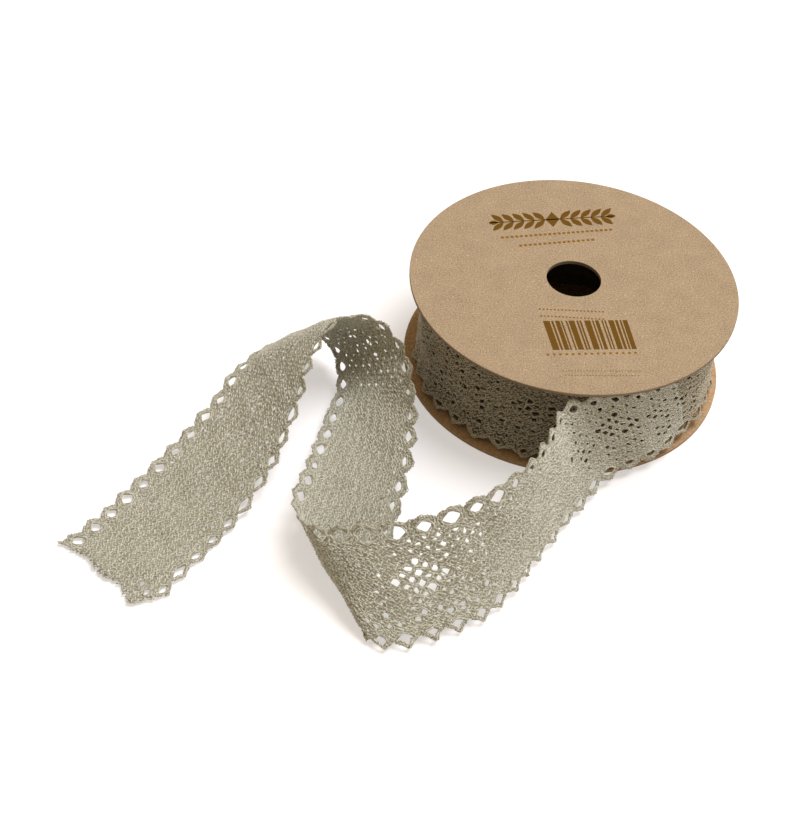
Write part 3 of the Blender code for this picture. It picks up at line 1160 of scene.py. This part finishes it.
def printed_piece(name, outlines, material):
    """A thin film of ink on the upper board, one face for each outline, all turned to face up by the sign of
    their area."""
    turned = []
    for one in outlines:
        x, y = one.T
        area = np.sum(x * np.roll(y, -1) - y * np.roll(x, -1))
        turned.append(one if area > 0 else one[::-1])
    points = np.concatenate(turned) + SPOOL_PLACE
    points = np.column_stack([points, np.full(len(points), SPOOL_HEIGHT)]) * MM
    ends = np.cumsum([len(one) for one in turned])
    faces = [list(range(end - len(one), end)) for one, end in zip(turned, ends)]
    mesh = bpy.data.meshes.new(name)
    mesh.from_pydata([tuple(p) for p in points.tolist()], [], faces)
    mesh.materials.append(material)
    piece = shown(name, mesh)
    thicken(piece, INK_THICK * MM, 1.0)
    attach(piece, "root")
    return piece


# Operators

class LACESPOOL_OT_boards(bpy.types.Operator):
    """Finish the two kraft boards and the tube between them."""

    bl_idname = "lacespool.boards"
    bl_label = "Boards and tube"

    def execute(self, context):
        colours = context.scene.lacespool_boards
        paint(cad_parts["flange_top"], kraft_material("kraft_board", colours.kraft))
        # The lower board gets the warmer kraft, painted warm shade
        paint(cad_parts["flange_bottom"], kraft_material("kraft_board_under_painted_shade", colours.kraft_under_painted_shade))
        paint(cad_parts["core"], kraft_material("grey_board", colours.tube))
        return {"FINISHED"}


class LACESPOOL_OT_print(bpy.types.Operator):
    """Print the upper board: a sprig, rows of dots and a block of uneven bars."""

    bl_idname = "lacespool.print"
    bl_label = "Print"

    def execute(self, context):
        ink = context.scene.lacespool_boards.ink
        bold = ink_material("offset_ink", ink, 1.0)
        pale = ink_material("offset_ink_thin", ink, 1.7)
        leaves = [in_block(one, ORNAMENT_BLOCK) for one in sprig(*SPRIG_SIZE)]
        printed_piece("print_sprig", leaves, bold)
        printed_piece("print_bars", [in_block(one, BARS_BLOCK) for one in bars()], bold)
        rows = [one for row in DOTTED_ROWS for one in dots(*row)]
        printed_piece("print_dots", rows, pale)
        return {"FINISHED"}


def lace_materials(context):
    """The cotton materials, made once."""
    sizes = context.scene.lacespool_lace
    wanted = {
        "tail_cotton": ("spun_cotton", sizes.cotton, 0.72, 1.24),
        # The loose end's plaits take a darker cotton, painted shade within the tight plaits
        "tail_border": ("spun_cotton_border_painted_shade", sizes.border, 0.7, 1.15),
        # The roll's strands and plaits take the darker wound cotton, painted shade of the roll
        "roll_cotton": ("spun_cotton_wound_painted_shade", sizes.wound, 0.78, 1.18),
        "roll_border": ("spun_cotton_wound_painted_shade", sizes.wound, 0.78, 1.18),
        # The loose end's ground cloth is darker than its strands, painted shade in the gaps between them
        "tail": ("cotton_ground_painted_shade", sizes.ground, 0.8, 1.1),
        "roll": ("cotton_depth_painted_shade", sizes.depth, 0.75, 1.15),
    }
    made = {}
    for key, (name, colour, dark, light) in wanted.items():
        made[key] = bpy.data.materials.get(name) or cotton_material(name, colour, dark, light)
    return made


class LACESPOOL_OT_roll(bpy.types.Operator):
    """Build the wound lace: its outer turn as lace over a plain ring of the turns below."""

    bl_idname = "lacespool.roll"
    bl_label = "Roll of lace"

    def execute(self, context):
        materials = lace_materials(context)
        # The ring and the roll's ground cloth take the dark depth colour, painted shade of the turns below
        body = surface_piece("roll_body", *turned_ring(), materials["roll"], "lace")
        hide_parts("roll")
        lace_pieces("roll", ROLL_STARTS, LEAVES_ROLL, context.scene.lacespool_lace, materials)
        return {"FINISHED"}


class LACESPOOL_OT_loose_end(bpy.types.Operator):
    """Build the loose end of the ribbon as lace."""

    bl_idname = "lacespool.loose_end"
    bl_label = "Loose end"

    def execute(self, context):
        sizes = context.scene.lacespool_lace
        cloth, extras = lace_pieces("tail", LEAVES_ROLL, RIBBON_ENDS, sizes, lace_materials(context))
        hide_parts("tail")
        return {"FINISHED"}


def paper_floor(look):
    """White paper on a light table: matt, faintly mottled in grains of about a millimetre, and glowing."""
    mesh = bpy.data.meshes.new("floor")
    far = FLOOR_REACH
    mesh.from_pydata([(-far, -far, 0), (far, -far, 0), (far, far, 0), (-far, far, 0)], [], [(0, 1, 2, 3)])
    made, tree, shader, place = begin("white_paper", 0.9, 0.1)
    grain = add(
        tree,
        "ShaderNodeTexNoise",
        values=[("Scale", grains(1.1)), ("Detail", 2.0)],
        links=[("Vector", place, "Object")],
    )
    mix = add(
        tree,
        "ShaderNodeMix",
        settings=[("data_type", "RGBA")],
        values=[(6, shade(look.floor, 0.995)), (7, shade(look.floor, 1.005))],
        links=[(0, grain, "Fac")],
    )
    tree.links.new(mix.outputs[2], shader.inputs["Base Color"])
    shader.inputs["Emission Color"].default_value = GLOW_COLOUR
    shader.inputs["Emission Strength"].default_value = look.glow
    mesh.materials.append(made)
    floor = shown("floor", mesh)


def surround_light(look):
    """Even light from all round."""
    world = bpy.data.worlds.new("studio")
    world.use_nodes = True
    background = world.node_tree.nodes["Background"]
    background.inputs["Color"].default_value = (*look.surround, 1.0)
    background.inputs["Strength"].default_value = 1.0
    return world


def soft_light(name, place, size, power):
    """A round soft light at a place, turned towards the origin: its back axis is the unit vector to the
    place and its side axis is level."""
    lamp = bpy.data.lights.new(name, "AREA")
    lamp.shape = "DISK"
    lamp.size = size
    lamp.energy = power
    lamp.color = LAMP_COLOUR
    light = shown(name, lamp)
    back = np.array(place) / np.linalg.norm(place)
    side = np.cross([0, 0, 1], back)
    side /= np.linalg.norm(side)
    turn = Matrix([side, np.cross(back, side), back]).transposed().to_4x4()
    light.matrix_world = Matrix.Translation(place) @ turn


def photo_camera():
    """The camera: first rolled about its own axis, then tipped up from looking straight down."""
    eye = bpy.data.cameras.new("camera")
    eye.sensor_width = SENSOR
    eye.lens = LENS
    eye.clip_start = 0.01
    camera = shown("camera", eye)
    rise = Matrix.Rotation(math.radians(CAMERA_RISE), 4, "X")
    roll = Matrix.Rotation(math.radians(CAMERA_ROLL), 4, "Z")
    camera.matrix_world = Matrix.Translation(CAMERA_PLACE) @ rise @ roll
    return camera


class LACESPOOL_OT_stage(bpy.types.Operator):
    """Add the floor, the lights and the camera."""

    bl_idname = "lacespool.stage"
    bl_label = "Floor, light and camera"

    def execute(self, context):
        scene = context.scene
        look = scene.lacespool_stage
        paper_floor(look)
        scene.world = surround_light(look)
        soft_light("key", KEY_PLACE, KEY_SIZE, look.key)
        soft_light("side", SIDE_PLACE, SIDE_SIZE, look.side)
        scene.camera = photo_camera()
        scene.view_settings.view_transform = "Standard"
        return {"FINISHED"}


class LACESPOOL_PT_parts(bpy.types.Panel):
    """Buttons for each part of the spool and the sizes and colours that they use."""

    bl_idname = "LACESPOOL_PT_parts"
    bl_label = "Spool of lace ribbon"
    bl_space_type = "VIEW_3D"
    bl_region_type = "UI"
    bl_category = "Lace spool"

    def draw(self, context):
        scene = context.scene
        for group in (scene.lacespool_lace, scene.lacespool_boards, scene.lacespool_stage):
            column = self.layout.column()
            for name in group.__annotations__:
                column.prop(group, name)
        for kind in OPERATORS:
            self.layout.operator(kind.bl_idname)


OPERATORS = (
    LACESPOOL_OT_boards,
    LACESPOOL_OT_print,
    LACESPOOL_OT_roll,
    LACESPOOL_OT_loose_end,
    LACESPOOL_OT_stage,
)
GROUPS = (LACESPOOL_PG_lace, LACESPOOL_PG_boards, LACESPOOL_PG_stage)


def register():
    for kind in (*GROUPS, *OPERATORS, LACESPOOL_PT_parts):
        bpy.utils.register_class(kind)
    bpy.types.Scene.lacespool_lace = PointerProperty(type=LACESPOOL_PG_lace)
    bpy.types.Scene.lacespool_boards = PointerProperty(type=LACESPOOL_PG_boards)
    bpy.types.Scene.lacespool_stage = PointerProperty(type=LACESPOOL_PG_stage)


def unregister():
    del bpy.types.Scene.lacespool_stage
    del bpy.types.Scene.lacespool_boards
    del bpy.types.Scene.lacespool_lace
    for kind in reversed((*GROUPS, *OPERATORS, LACESPOOL_PT_parts)):
        bpy.utils.unregister_class(kind)


def main():
    register()
    bpy.ops.lacespool.boards()
    bpy.ops.lacespool.print()
    bpy.ops.lacespool.roll()
    bpy.ops.lacespool.loose_end()
    bpy.ops.lacespool.stage()


if __name__ == "__main__":
    main()
